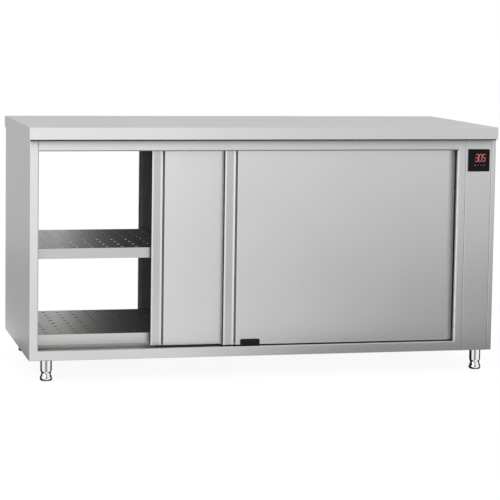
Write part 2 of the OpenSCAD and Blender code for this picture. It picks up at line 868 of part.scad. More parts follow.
// Door, with its face on y = 0 and its grip edge on x = 0
function door_path() =
    [[door_lip, door_t], [0, door_t], [0, grip_edge_d], [grip_edge, 0],
     [grip_w - grip_rise, grip_dip], [grip_w, 0],
     [grip_w + groove_taper, groove_d], [grip_w + groove_w - groove_taper, groove_d],
     [grip_w + groove_w, 0], [door_w - bevel_w, 0], [door_w, bevel_d], [door_w, door_t],
     [door_w - door_lip, door_t]];

module door_skin() color(steel) {
    path = door_path();
    run_z(door_z0, door_z1) fold(path, sheet, door_bend);
    for (z = [door_z0, door_z1 - sheet]) run_z(z, z + sheet) polygon(bent(path, door_bend));
}

module door_back() color(inner) {
    inset = door_bend + fit;
    span([inset, door_t - 2*sheet, door_z0 + sheet], [door_w - inset, door_t - sheet, door_z1 - sheet]);
}

// A pair of hangers: a foot on the door, a plate up to the axle, and the axle with its collar and head
module door_hangers() color(zinc) {
    plate_h = axle_z + roller_r/2 - door_z1;
    plate_y = [hanger_y - hanger_t/2, hanger_y + hanger_t/2];
    ledge = 3;
    head_r = 1.6*axle_r;
    for (x = [hanger_inset, door_w - hanger_inset]) translate([x, 0, 0]) {
        span([-hanger_w/2, plate_y[0] - ledge, door_z1], [hanger_w/2, door_t - fit, door_z1 + hanger_t]);
        translate([-hanger_w/2, 0, door_z1]) run_y(plate_y[0], plate_y[1])
            round_top(hanger_w, plate_h, roller_r/2);
        translate([0, hanger_y, axle_z]) rotate([90, 0, 0]) {
            cylinder(r = axle_r, h = hanger_y - axle_end);
            cylinder(r = head_r, h = hanger_y - collar_y);
            translate([0, 0, hanger_y - axle_end - axle_head]) cylinder(r = head_r, h = axle_head);
        }
    }
}

module door_roller(x) color(white) {
    tread = roller_r - roller_groove;
    half = roller_w/2;
    seat = track_wall/2 + fit;
    translate([x, roller_y, axle_z]) rotate([90, 0, 0]) rotate_extrude()
        polygon([[axle_r + axle_play, -half], [roller_r, -half], [roller_r, -seat - roller_groove/2],
                 [tread, -seat], [tread, seat], [roller_r, seat + roller_groove/2], [roller_r, half],
                 [axle_r + axle_play, half]]);
}

module roller_a() door_roller(hanger_inset);
module roller_b() door_roller(door_w - hanger_inset);

// The four doors: outer lane 0 and inner lane 1 at each side
module hung(lane_i, x) {
    translate([x, y_front + door_recess + lane_i*lane, 0]) children();
}

module front_left() hung(1, closed_left + front_left_open) children();
module front_right() hung(0, closed_right) children();
module rear_left() about_face() hung(0, closed_right - rear_left_open) children();
module rear_right() about_face() hung(1, closed_left) children();

module front_left_door_skin() front_left() door_skin();
module front_left_door_back() front_left() door_back();
module front_left_hangers() front_left() door_hangers();
module front_left_roller_a() front_left() roller_a();
module front_left_roller_b() front_left() roller_b();

module front_right_door_skin() front_right() door_skin();
module front_right_door_back() front_right() door_back();
module front_right_hangers() front_right() door_hangers();
module front_right_roller_a() front_right() roller_a();
module front_right_roller_b() front_right() roller_b();

module rear_left_door_skin() rear_left() door_skin();
module rear_left_door_back() rear_left() door_back();
module rear_left_hangers() rear_left() door_hangers();
module rear_left_roller_a() rear_left() roller_a();
module rear_left_roller_b() rear_left() roller_b();

module rear_right_door_skin() rear_right() door_skin();
module rear_right_door_back() rear_right() door_back();
module rear_right_hangers() rear_right() door_hangers();
module rear_right_roller_a() rear_right() roller_a();
module rear_right_roller_b() rear_right() roller_b();

worktop();
worktop_core();
worktop_stiffeners();
left_side_panel();
left_lining();
right_side_panel();
partition_panel();
control_fascia();
bay_rear_cover();
bay_floor();
ceiling_panel();
front_top_rail();
rear_top_rail();
front_bottom_rail();
rear_bottom_rail();
floor_pan();
cross_members();
front_track();
rear_track();
track_stops();
door_guides();
middle_shelf();
shelf_angles();
bottom_shelf();
controller_housing();
controller_window();
air_duct();
fan_motor();
ring_element();
terminal_block();
safety_thermostat();
temperature_probe();
cable_gland();
leg_tubes();
front_left_door_skin();
front_left_door_back();
front_left_hangers();
front_left_roller_a();
front_left_roller_b();
front_right_door_skin();
front_right_door_back();
front_right_hangers();
front_right_roller_a();
front_right_roller_b();
rear_left_door_skin();
rear_left_door_back();
rear_left_hangers();
rear_left_roller_a();
rear_left_roller_b();
rear_right_door_skin();
rear_right_door_back();
rear_right_hangers();
rear_right_roller_a();
rear_right_roller_b();
fan_impeller();
fan_shaft();
foot_front_left();
foot_front_right();
foot_rear_left();
foot_rear_right();
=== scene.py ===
"""Looks of a pass-through hot cupboard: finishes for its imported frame, small fittings and a studio."""

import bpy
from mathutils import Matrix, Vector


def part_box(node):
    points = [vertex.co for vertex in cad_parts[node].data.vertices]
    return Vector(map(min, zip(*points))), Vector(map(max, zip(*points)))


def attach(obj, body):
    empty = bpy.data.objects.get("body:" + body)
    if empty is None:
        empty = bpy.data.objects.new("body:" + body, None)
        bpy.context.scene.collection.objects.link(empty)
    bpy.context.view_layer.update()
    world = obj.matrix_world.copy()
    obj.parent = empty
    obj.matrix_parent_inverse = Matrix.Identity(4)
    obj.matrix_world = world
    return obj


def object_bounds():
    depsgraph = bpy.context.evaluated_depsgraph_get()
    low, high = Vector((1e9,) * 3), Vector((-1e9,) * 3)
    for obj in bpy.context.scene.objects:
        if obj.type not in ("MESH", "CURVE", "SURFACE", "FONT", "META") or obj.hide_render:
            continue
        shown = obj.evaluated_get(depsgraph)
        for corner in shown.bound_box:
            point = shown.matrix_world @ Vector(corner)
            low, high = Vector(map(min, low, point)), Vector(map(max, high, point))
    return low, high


bl_info = {
    "name": "Hot Cupboard Finishes",
    "version": (1, 0, 0),
    "blender": (4, 5, 0),
    "location": "3D View > Sidebar > Cupboard",
    "description": "Metal and plastic finishes, a controller reading, seals, screws and a studio",
    "category": "Object",
}

import math

import bmesh
import bpy
import numpy as np
from mathutils import Matrix

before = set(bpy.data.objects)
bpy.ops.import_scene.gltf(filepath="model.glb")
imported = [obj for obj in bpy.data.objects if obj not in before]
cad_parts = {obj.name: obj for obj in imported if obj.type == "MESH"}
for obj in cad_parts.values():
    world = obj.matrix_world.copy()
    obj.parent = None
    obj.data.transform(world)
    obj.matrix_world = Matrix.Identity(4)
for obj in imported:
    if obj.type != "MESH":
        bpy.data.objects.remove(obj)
CAD_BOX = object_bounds()

# Doors and feet are named for the same four corners
DOORS = ("front_left", "front_right", "rear_left", "rear_right")
CORNERS = DOORS

# CAD nodes that share a finish
UPRIGHT_SHEETS = ["left_side_panel", "right_side_panel", "partition_panel", "control_fascia",
                  "bay_rear_cover"]
LEVEL_SHEETS = ["worktop", "front_top_rail", "rear_top_rail", "front_bottom_rail", "rear_bottom_rail"]
CHAMBER = ["left_lining", "ceiling_panel", "shelf_angles"]
ZINC = ["worktop_stiffeners", "bay_floor", "cross_members", "front_track", "rear_track", "air_duct",
        "fan_motor"]
BLACK = ["door_guides", "controller_housing", "safety_thermostat", "cable_gland"]

# Bars of a seven-bar numeral: the bar's middle in numeral widths and half heights, and whether it lies
BARS = {"a": (0, 1, True), "b": (0.5, 0.5, False), "c": (0.5, -0.5, False), "d": (0, -1, True),
        "e": (-0.5, -0.5, False), "f": (-0.5, 0.5, False), "g": (0, 0, True)}
NUMERALS = {"0": "abcdef", "1": "bc", "2": "abged", "3": "abgcd", "4": "fgbc",
            "5": "afgcd", "6": "afgedc", "7": "abc", "8": "abcdefg", "9": "abcdfg"}

# How far the controller's prints stand off its window, and how thick they are
PRINT_PROUD = 0.0001
PRINT_DEPTH = 0.00015

# Brush lines: scale along the stroke, strength of their relief, and its depth in line widths
STROKE = 3.0
BRUSH_RELIEF = 0.06
BRUSH_DEPTH = 0.1


def colour_setting(name, description, default):
    """A colour among the settings."""
    return bpy.props.FloatVectorProperty(
        name=name, description=description, subtype="COLOR", size=3, min=0, max=1, default=default)


class SteelSettings(bpy.types.PropertyGroup):
    """Colours and polish of the metals."""
    sheet_colour: colour_setting(
        "Sheet", "Colour of the outer stainless sheet", (0.6, 0.6, 0.605))
    sheet_roughness: bpy.props.FloatProperty(
        name="Sheet roughness", description="Mean roughness of the brushed sheet", subtype="FACTOR",
        min=0, max=1, default=0.34)
    brush_width: bpy.props.FloatProperty(
        name="Brush width", description="Width of one brush line", unit="LENGTH",
        min=0.0002, max=0.005, default=0.0006)
    chamber_colour: colour_setting(
        "Chamber", "Colour of the sheet inside the chamber", (0.4, 0.4, 0.395))
    # Chamber floor: a lighter copy of the chamber sheet, painted light for the light that reaches the
    # floor under the bottom shelf
    lit_floor_colour: colour_setting(
        "Chamber floor", "Colour of the chamber's scoured floor", (0.55, 0.55, 0.55))
    # Shelf top: painted shade, darker than the lips for the shade the shelves lie in
    shaded_shelf_top_colour: colour_setting(
        "Shelf top", "Colour of the shelves' worn upper faces", (0.34, 0.335, 0.32))
    lip_colour: colour_setting(
        "Middle lip", "Colour of the middle shelf's folded edges", (0.48, 0.48, 0.475))
    # Bottom lip: a lighter copy of the middle lip, painted light for the brighter tone of the bottom
    # shelf's lips
    lit_low_lip_colour: colour_setting(
        "Bottom lip", "Colour of the bottom shelf's folded edges", (0.5472, 0.5472, 0.5415))
    # Door back: a darker copy of the chamber sheet, painted shade for the doors' shaded inner faces
    shaded_back_colour: colour_setting(
        "Door back", "Colour of the doors' dull inner faces", (0.26, 0.26, 0.255))
    zinc_colour: colour_setting(
        "Zinc", "Colour of the galvanised pieces", (0.5, 0.52, 0.55))
    chrome_colour: colour_setting(
        "Chrome", "Colour of the legs and feet", (0.82, 0.83, 0.84))


class FittingSettings(bpy.types.PropertyGroup):
    """Sizes of the small fittings."""
    reading: bpy.props.StringProperty(
        name="Reading", description="Digits that the controller shows", default="305")
    reading_colour: colour_setting(
        "Reading colour", "Colour of a lit bar", (0.85, 0.19, 0.2))
    numeral_height: bpy.props.FloatProperty(
        name="Numeral height", description="Height of a digit", unit="LENGTH",
        min=0.008, max=0.035, default=0.024)
    numeral_pitch: bpy.props.FloatProperty(
        name="Numeral pitch", description="Distance from digit to digit", unit="LENGTH",
        min=0.008, max=0.025, default=0.0128)
    touch_mark: bpy.props.FloatProperty(
        name="Touch mark", description="Size of a touch mark under the reading", unit="LENGTH",
        min=0.001, max=0.006, default=0.0032)
    screw_radius: bpy.props.FloatProperty(
        name="Screw radius", description="Radius of a pan head on the rear cover", unit="LENGTH",
        min=0.002, max=0.006, default=0.004)
    thread_pitch: bpy.props.FloatProperty(
        name="Thread pitch", description="Pitch of the levelling screws", unit="LENGTH",
        min=0.001, max=0.003, default=0.00175)
    thread_depth: bpy.props.FloatProperty(
        name="Thread depth", description="Height of a thread over its screw", unit="LENGTH",
        min=0.0001, max=0.00028, default=0.00022)
    bead_size: bpy.props.FloatProperty(
        name="Sealant bead", description="Reach of the bead of sealant under the worktop", unit="LENGTH",
        min=0.001, max=0.008, default=0.0045)
    seal_width: bpy.props.FloatProperty(
        name="Edge seal", description="Width of the rubber seal on a door's grip edge", unit="LENGTH",
        min=0.006, max=0.013, default=0.0125)
    seal_bulge: bpy.props.FloatProperty(
        name="Seal bulge", description="How far a seal or strip stands off what carries it",
        unit="LENGTH", min=0.0005, max=0.003, default=0.0012)
    groove_strip: bpy.props.FloatProperty(
        name="Groove strip", description="Width of the rubber strip in a door's groove", unit="LENGTH",
        min=0.002, max=0.005, default=0.005)
    buffer_width: bpy.props.FloatProperty(
        name="Buffer", description="Width of the pale buffer on a jamb", unit="LENGTH",
        min=0.006, max=0.03, default=0.0105)
    buffer_depth: bpy.props.FloatProperty(
        name="Buffer depth", description="Distance of a buffer's middle behind the rail's face",
        unit="LENGTH", min=0.004, max=0.03, default=0.006)
    jamb_seal_width: bpy.props.FloatProperty(
        name="Jamb seal", description="Width of the grey seal behind a buffer", unit="LENGTH",
        min=0.006, max=0.03, default=0.01)
    jamb_seal_depth: bpy.props.FloatProperty(
        name="Jamb seal depth", description="Distance of a jamb seal's middle behind the rail's face",
        unit="LENGTH", min=0.01, max=0.04, default=0.0164)
    edging_size: bpy.props.FloatProperty(
        name="Edging", description="Height of the edging under a top rail", unit="LENGTH",
        min=0.001, max=0.0025, default=0.002)
    weld_size: bpy.props.FloatProperty(
        name="Weld", description="Reach of the ground weld between a post and the rail", unit="LENGTH",
        min=0.001, max=0.005, default=0.0023)


class StudioSettings(bpy.types.PropertyGroup):
    """Camera, lamps and room."""
    eye: bpy.props.FloatVectorProperty(
        name="Eye", description="Place of the camera", subtype="TRANSLATION", unit="LENGTH",
        size=3, default=(-1.6094, -6.6704, 1.2181))
    heading: bpy.props.FloatProperty(
        name="Heading", description="Turn of the view from straight ahead to the right", unit="ROTATION",
        subtype="ANGLE", default=math.radians(12.702))
    dip: bpy.props.FloatProperty(
        name="Dip", description="Tilt of the view below the horizon", unit="ROTATION",
        subtype="ANGLE", default=math.radians(5.45))
    roll: bpy.props.FloatProperty(
        name="Roll", description="Turn of the camera about its view", unit="ROTATION",
        subtype="ANGLE", default=math.radians(0.761))
    lens: bpy.props.FloatProperty(
        name="Lens", description="Focal length on a 36 mm sensor, in millimetres", default=141.86)
    shift: bpy.props.FloatVectorProperty(
        name="Shift", description="Lens shift in image widths", size=2, default=(0.07, -0.1))
    room_light: bpy.props.FloatProperty(
        name="Room light", description="Strength of the white room", min=0, max=2, default=0.75)
    broad_light: bpy.props.FloatProperty(
        name="Broad light", description="Power of the broad light behind the camera's left, in watts",
        min=0, max=2000, default=150)
    key_light: bpy.props.FloatProperty(
        name="Key light", description="Power of the soft light over the left shoulder, in watts",
        min=0, max=2000, default=110)


# Node trees

def add(tree, kind, values=None, **settings):
    """Adds a shader node, sets its options and fills its sockets by name."""
    made = tree.nodes.new("ShaderNode" + kind)
    for key, value in settings.items():
        setattr(made, key, value)
    for key, value in (values or {}).items():
        made.inputs[key].default_value = value
    return made


def start_material(name, colour, metallic, roughness=0.5):
    """A new material with one Principled shader; returns the material, its tree and the shader.

    A pattern that is linked later takes the place of the colour or the roughness given here.
    """
    material = bpy.data.materials.new(name)
    material.use_nodes = True
    tree = material.node_tree
    shader = tree.nodes["Principled BSDF"]
    shader.inputs["Base Color"].default_value = (*colour, 1)
    shader.inputs["Metallic"].default_value = metallic
    shader.inputs["Roughness"].default_value = roughness
    return material, tree, shader


def pattern_space(tree, stretch=(1, 1, 1)):
    """Object coordinates, stretched; returns the Mapping node's output."""
    coords = add(tree, "TexCoord")
    mapping = add(tree, "Mapping", {"Scale": stretch})
    tree.links.new(coords.outputs["Object"], mapping.inputs["Vector"])
    return mapping.outputs["Vector"]


def cloud(tree, space, scale, detail):
    """Noise value over a pattern space."""
    noise = add(tree, "TexNoise", {"Scale": scale, "Detail": detail, "Roughness": 0.6})
    tree.links.new(space, noise.inputs["Vector"])
    return noise.outputs["Factor" if "Factor" in noise.outputs else "Fac"]


def cell_tones(tree, space, scale):
    """Random tones of a pattern's cells; returns the sockets Red, Green and Blue."""
    cells = add(tree, "TexVoronoi", {"Scale": scale})
    tree.links.new(space, cells.inputs["Vector"])
    tones = add(tree, "SeparateColor")
    tree.links.new(cells.outputs["Color"], tones.inputs["Color"])
    return tones.outputs


def spread(tree, value, low, high, start=0.3, end=0.7):
    """Maps a value between start and end, where most noise lies, on to a range from low to high."""
    ramp = add(tree, "MapRange", {"From Min": start, "From Max": end, "To Min": low, "To Max": high})
    tree.links.new(value, ramp.inputs["Value"])
    return ramp.outputs["Result"]


def tint(tree, shader, factor, first, second):
    """Lets a factor take the shader's colour from first to second."""
    mix = add(tree, "Mix", data_type="RGBA")
    mix.inputs["A"].default_value = (*first, 1)
    mix.inputs["B"].default_value = (*second, 1)
    tree.links.new(factor, mix.inputs["Factor"])
    tree.links.new(mix.outputs["Result"], shader.inputs["Base Color"])


def shade(colour, factor):
    """A colour made lighter or darker, kept under white."""
    return tuple(min(1.0, c * factor) for c in colour)


def rough_range(tree, shader, value, low, high):
    """Lets a pattern set the shader's roughness."""
    tree.links.new(spread(tree, value, low, high), shader.inputs["Roughness"])


def relief(tree, shader, value, strength, distance):
    """Lets a pattern raise and lower the surface."""
    bump = add(tree, "Bump", {"Strength": strength, "Distance": distance})
    tree.links.new(value, bump.inputs["Height"])
    tree.links.new(bump.outputs["Normal"], shader.inputs["Normal"])


def brush_lines(tree, shader, brush_width, along, low, high):
    """Noise drawn out along one axis: its lines set the roughness and give a faint relief."""
    stretch = [1 / brush_width] * 3
    stretch["xyz".index(along)] = STROKE
    lines = cloud(tree, pattern_space(tree, stretch), scale=1.0, detail=4.0)
    rough_range(tree, shader, lines, low, high)
    relief(tree, shader, lines, BRUSH_RELIEF, brush_width * BRUSH_DEPTH)


def mix_out(tree, factor, first, second, out):
    """Ends a tree in two shaders, mixed by a factor from first to second."""
    mix = add(tree, "MixShader")
    for place, source in enumerate((factor, first.outputs[0], second.outputs[0])):
        tree.links.new(source, mix.inputs[place])
    tree.links.new(mix.outputs[0], add(tree, out).inputs["Surface"])


# Finishes

def brushed_steel(name, colour, roughness, brush_width, along):
    """Brushed sheet: lines along one axis, and a slow cloud that gives the sheen."""
    tone, polish = 0.025, 0.05
    material, tree, shader = start_material(name, colour, metallic=1.0)
    sheen = cloud(tree, pattern_space(tree), scale=2.2, detail=2.0)
    tint(tree, shader, spread(tree, sheen, 0, 1), shade(colour, 1 - tone), shade(colour, 1 + tone))
    brush_lines(tree, shader, brush_width, along, low=roughness - polish, high=roughness + polish)
    return material


def mill_steel(name, colour):
    """Dull mill sheet: clouded, with a faint straw tint from the heat."""
    material, tree, shader = start_material(name, colour, metallic=1.0)
    blots = cloud(tree, pattern_space(tree), scale=9.0, detail=5.0)
    straw = (colour[0] * 1.02, colour[1], colour[2] * 0.96)
    tint(tree, shader, spread(tree, blots, 0, 1), colour, straw)
    rough_range(tree, shader, blots, low=0.36, high=0.5)
    grain = cloud(tree, pattern_space(tree), scale=700.0, detail=2.0)
    relief(tree, shader, grain, strength=0.06, distance=0.0001)
    return material


def shelf_steel(name, lip_colour, shaded_top_colour, brush_width):
    """Shelf sheet: its upper face is painted darker, as the shade inside the chamber, and its folded
    lips keep the brushed look.
    """
    material, tree, shader = start_material(name, lip_colour, metallic=1.0)
    # Painted shade: the object's normal picks out the faces that look up, and these take the darker top
    # colour
    coords = add(tree, "TexCoord")
    split = add(tree, "SeparateXYZ")
    tree.links.new(coords.outputs["Normal"], split.inputs["Vector"])
    upward_shade = spread(tree, split.outputs["Z"], 0, 1, start=0.5, end=0.9)
    tint(tree, shader, upward_shade, lip_colour, shaded_top_colour)
    brush_lines(tree, shader, brush_width, "x", low=0.3, high=0.4)
    return material


def zinc_sheet(name, colour):
    """Galvanised sheet: the spangle's cells differ in tone and polish."""
    material, tree, shader = start_material(name, colour, metallic=1.0)
    tones = cell_tones(tree, pattern_space(tree), scale=90.0)
    tint(tree, shader, tones["Red"], shade(colour, 0.82), shade(colour, 1.12))
    polish = spread(tree, tones["Green"], low=0.34, high=0.5, start=0, end=1)
    tree.links.new(polish, shader.inputs["Roughness"])
    return material


def chrome_plate(name, colour):
    """Polished chrome with a trace of wiping marks."""
    material, tree, shader = start_material(name, colour, metallic=1.0)
    marks = cloud(tree, pattern_space(tree, (1, 1, 0.15)), scale=160.0, detail=4.0)
    rough_range(tree, shader, marks, low=0.05, high=0.11)
    return material


def bright_steel(name, colour):
    """Turned or pressed steel with fine rings round the fan's axis."""
    material, tree, shader = start_material(name, colour, metallic=1.0)
    rings = cloud(tree, pattern_space(tree, (900, 60, 60)), scale=1.0, detail=3.0)
    rough_range(tree, shader, rings, low=0.2, high=0.36)
    return material


def moulded_plastic(name, colour, roughness, grain=0.0008, gloss=0.5):
    """Moulded plastic or rubber: a fine eroded grain, and a tone that drifts a little."""
    material, tree, shader = start_material(name, colour, metallic=0.0)
    shader.inputs["Specular IOR Level"].default_value = gloss
    drift = cloud(tree, pattern_space(tree), scale=30.0, detail=3.0)
    tint(tree, shader, spread(tree, drift, 0, 1), shade(colour, 0.85), shade(colour, 1.15))
    rough_range(tree, shader, drift, low=roughness - 0.06, high=roughness + 0.08)
    pits = cloud(tree, pattern_space(tree), scale=1 / grain, detail=3.0)
    relief(tree, shader, pits, strength=0.25, distance=grain * 0.1)
    return material


def tinted_window(name):
    """Gloss black window of the controller, with faint wipe marks."""
    material, tree, shader = start_material(name, (0.004, 0.004, 0.0045), metallic=0.0)
    shader.inputs["Specular IOR Level"].default_value = 0.1
    marks = cloud(tree, pattern_space(tree, (1, 1, 3)), scale=60.0, detail=4.0)
    rough_range(tree, shader, marks, low=0.04, high=0.14)
    return material


def chipboard(name):
    """Board of pressed chips: cells of several wood tones."""
    dark, light = (0.36, 0.24, 0.12), (0.66, 0.5, 0.3)
    material, tree, shader = start_material(name, dark, metallic=0.0, roughness=0.75)
    tones = cell_tones(tree, pattern_space(tree, (1, 0.5, 1)), scale=220.0)
    tint(tree, shader, tones["Red"], dark, light)
    return material


def heated_tube(name):
    """Element sheath: brown oxide with blue where it runs hottest."""
    brown, blue = (0.24, 0.17, 0.12), (0.12, 0.12, 0.17)
    material, tree, shader = start_material(name, brown, metallic=1.0)
    oxide = cloud(tree, pattern_space(tree), scale=35.0, detail=4.0)
    tint(tree, shader, spread(tree, oxide, 0, 1), brown, blue)
    rough_range(tree, shader, oxide, low=0.32, high=0.5)
    return material


def lit_bar(name, colour, strength):
    """Bar of the reading: it glows with its own colour, a little uneven."""
    material, tree, shader = start_material(name, shade(colour, 0.3), metallic=0.0, roughness=0.4)
    shader.inputs["Emission Color"].default_value = (*colour, 1)
    uneven = cloud(tree, pattern_space(tree), scale=700.0, detail=2.0)
    glow = spread(tree, uneven, low=strength * 0.85, high=strength * 1.1)
    tree.links.new(glow, shader.inputs["Emission Strength"])
    return material


def coat(nodes, material):
    """Gives CAD nodes a finish."""
    for name in nodes:
        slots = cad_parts[name].data.materials
        slots.clear()
        slots.append(material)


# Meshes

def grid_faces(rows, columns, wrap):
    """Quads between neighbouring rows of a grid of points; wrap joins the last column to the first."""
    row = np.arange(rows - 1)[:, None] * columns
    column = np.arange(columns if wrap else columns - 1)[None, :]
    beside = (column + 1) % columns
    corners = (row + column, row + beside, row + columns + beside, row + columns + column)
    return np.stack(corners, -1).reshape(-1, 4)


def repeat_faces(faces, count, step):
    """The same faces for each of many copies whose points follow one another."""
    starts = np.arange(count)[:, None, None] * step
    return (np.asarray(faces)[None] + starts).reshape(-1, np.shape(faces)[1])


def piece(name, points, faces, material, body):
    """A new piece on a body: doubles are merged and the faces turned outwards."""
    mesh = bpy.data.meshes.new(name)
    mesh.from_pydata(np.asarray(points).reshape(-1, 3).tolist(), [], np.asarray(faces).tolist())
    work = bmesh.new()
    work.from_mesh(mesh)
    nothing = 1e-7
    bmesh.ops.remove_doubles(work, verts=work.verts, dist=nothing)
    bmesh.ops.dissolve_degenerate(work, edges=work.edges, dist=nothing)
    bmesh.ops.recalc_face_normals(work, faces=work.faces)
    work.to_mesh(mesh)
    work.free()
    mesh.materials.append(material)
    made = bpy.data.objects.new(name, mesh)
    bpy.context.scene.collection.objects.link(made)
    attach(made, body)


def bars_mesh(middles, flat, length, width, depth):
    """Mitred bars: a six-cornered outline, long along x or z, swept from the front to depth behind it.

    Each bar's corners are its middle plus (+-(l - w)/2, +-w/2) and (+-l/2, 0), swapped where it stands.
    """
    reach = np.broadcast_to(length, len(flat))[:, None] / 2
    inner = reach - width / 2
    along = np.concatenate([-reach, -inner, inner, reach, inner, -inner], 1)
    across = np.broadcast_to(width / 2 * np.array([0, -1, -1, 0, 1, 1]), along.shape)
    lying = np.stack([along, across], -1)
    corners = np.where(np.asarray(flat)[:, None, None], lying, lying[..., ::-1])
    plane = np.asarray(middles)[:, None, :] + corners
    front = np.insert(plane, 1, 0.0, axis=2)
    back = np.insert(plane, 1, depth, axis=2)
    points = np.concatenate([front, back], axis=1)
    around = np.arange(6)
    after = (around + 1) % 6
    sides = np.stack([around, after, after + 6, around + 6], -1)
    caps = np.array([[0, 1, 2, 3], [0, 3, 4, 5], [6, 7, 8, 9], [6, 9, 10, 11]])
    return points, repeat_faces(np.concatenate([sides, caps]), len(points), 12)


def disc_ring(radius, inner, depth, sides=24):
    """Flat ring: points at radius and inner round a circle, at the front and at depth behind it."""
    turn = np.linspace(0, 2 * np.pi, sides, endpoint=False)
    circle = np.stack([np.cos(turn), np.zeros(sides), np.sin(turn)], -1)
    back = np.array([0, depth, 0])
    outside, inside = circle * radius, circle * inner
    rows = [outside, inside, inside + back, outside + back, outside]
    return np.stack(rows), grid_faces(len(rows), sides, True)


def screw_head(radius, sides=48):
    """Pan head with a cross recess, on its axis z.

    Rows run from the recess's floor out to its edge, up, over the crown z = h*sqrt(1 - 0.7*(r/R)^2),
    down the rim and back under the head. The recess's edge is the radial reach of two crossed bars.
    """
    turn = np.linspace(0, 2 * np.pi, sides, endpoint=False)
    across = np.abs(np.cos(turn)) + 1e-9
    along = np.abs(np.sin(turn)) + 1e-9
    reach, half, height = 0.58 * radius, 0.15 * radius, 0.6 * radius
    bend, taper, sunk_to = 0.7, 0.8, 0.25 * height
    edge = np.maximum(np.minimum(reach / across, half / along), np.minimum(half / across, reach / along))

    def crown(r):
        return height * np.sqrt(1 - bend * (r / radius) ** 2)

    full = np.full(sides, radius)
    zero = np.zeros(sides)
    floor = np.full(sides, sunk_to)
    rows = [(zero, floor), (edge * taper, floor), (edge, crown(edge))]
    for share in (0.4, 0.7, 0.9):
        r = edge + (full - edge) * share
        rows.append((r, crown(r)))
    rows += [(full, crown(full)), (full, zero), (zero, zero)]
    grid = np.stack([np.stack([r * np.cos(turn), r * np.sin(turn), z], -1) for r, z in rows])
    return grid, grid_faces(len(rows), sides, True)


def thread_ridge(radius, depth, pitch, bottom, top, steps=24):
    """Screw thread: a triangular ridge carried along the helix (r cos t, r sin t, bottom + pitch*t/2pi).

    The ridge's foot lies inside the screw, and its crest fades out over the first and the last turn.
    """
    turns = (top - bottom) / pitch
    t = np.linspace(0, 2 * np.pi * turns, int(turns * steps))
    fade = np.clip(np.minimum(t, t[-1] - t) / (2 * np.pi), 0, 1)
    sunk, half = 0.5 * depth, 0.42 * pitch
    foot = radius - sunk
    crest = foot + (sunk + depth) * fade
    middle = bottom + pitch * t / (2 * np.pi)
    lift = half * fade
    reach = np.stack([np.full_like(t, foot), crest, np.full_like(t, foot)], 1)
    rise = np.stack([middle - lift, middle, middle + lift], 1)
    grid = np.stack([reach * np.cos(t)[:, None], reach * np.sin(t)[:, None], rise], -1)
    return grid, grid_faces(len(t), 3, True)


def swept(ring, middle, run):
    """A ring of points carried along a straight run, its two ends drawn in to middle."""
    centre = np.broadcast_to(np.array(middle), ring.shape)
    far = np.array(run)
    return np.stack([centre, ring, ring + far, centre + far]), grid_faces(4, len(ring), True)


def corner_fill(corner, first, second, run, size):
    """Filler with a hollow face in a square corner, carried along a straight run.

    A point at angle a lies at corner + size*(1 - sin a)*first + size*(1 - cos a)*second.
    """
    angle = np.linspace(0, np.pi / 2, 9)[:, None]
    hollow = (1 - np.sin(angle)) * np.array(first) + (1 - np.cos(angle)) * np.array(second)
    ring = np.concatenate([hollow * size, np.zeros((1, 3))]) + np.array(corner)
    return swept(ring, corner, run)


def half_round(place, across, out, run, width, bulge):
    """Strip with a flat back and a half-elliptic face, carried along a straight run.

    A point at angle a lies at place + width/2*cos a*across + bulge*sin a*out.
    """
    angle = np.linspace(0, np.pi, 13)[:, None]
    sideways = width / 2 * np.cos(angle) * np.array(across)
    outwards = bulge * np.sin(angle) * np.array(out)
    return swept(np.array(place) + sideways + outwards, place, run)


# Stage

def ease(t):
    """Smooth step: 0 up to t = 0, 1 from t = 1, and 3t^2 - 2t^3 between them."""
    t = np.clip(t, 0, 1)
    return t * t * (3 - 2 * t)


def soft_edges(left=0, right=0, bottom=0, top=0):
    """A card's fade: it eases in from the edges over these shares of its width and height."""
    def fade(u, v):
        share = np.ones_like(u)
        for ramp, distance in ((left, u), (right, 1 - u), (bottom, v), (top, 1 - v)):
            if ramp:
                share = share * ease(distance / ramp)
        return share
    return fade


def stage_sheet(name, points, faces):
    """A sheet of the stage with an empty material; returns the object and the material's tree."""
    mesh = bpy.data.meshes.new(name)
    mesh.from_pydata(points.reshape(-1, 3).tolist(), [], faces)
    material = bpy.data.materials.new(name)
    material.use_nodes = True
    material.node_tree.nodes.clear()
    mesh.materials.append(material)
    made = bpy.data.objects.new(name, mesh)
    bpy.context.scene.collection.objects.link(made)
    return made, material.node_tree


# Operators

class CUPBOARD_OT_sheets(bpy.types.Operator):
    """Brushed finish for the worktop, the panels, the rails and the doors' skins"""
    bl_idname = "cupboard.sheets"
    bl_label = "Outer sheets"

    def execute(self, context):
        steel = context.scene.cupboard_steel
        sheet = (tuple(steel.sheet_colour), steel.sheet_roughness, steel.brush_width)
        upright = brushed_steel("steel_brushed_upright", *sheet, "z")
        coat(UPRIGHT_SHEETS + [d + "_door_skin" for d in DOORS], upright)
        coat(LEVEL_SHEETS, brushed_steel("steel_brushed_level", *sheet, "x"))
        return {"FINISHED"}


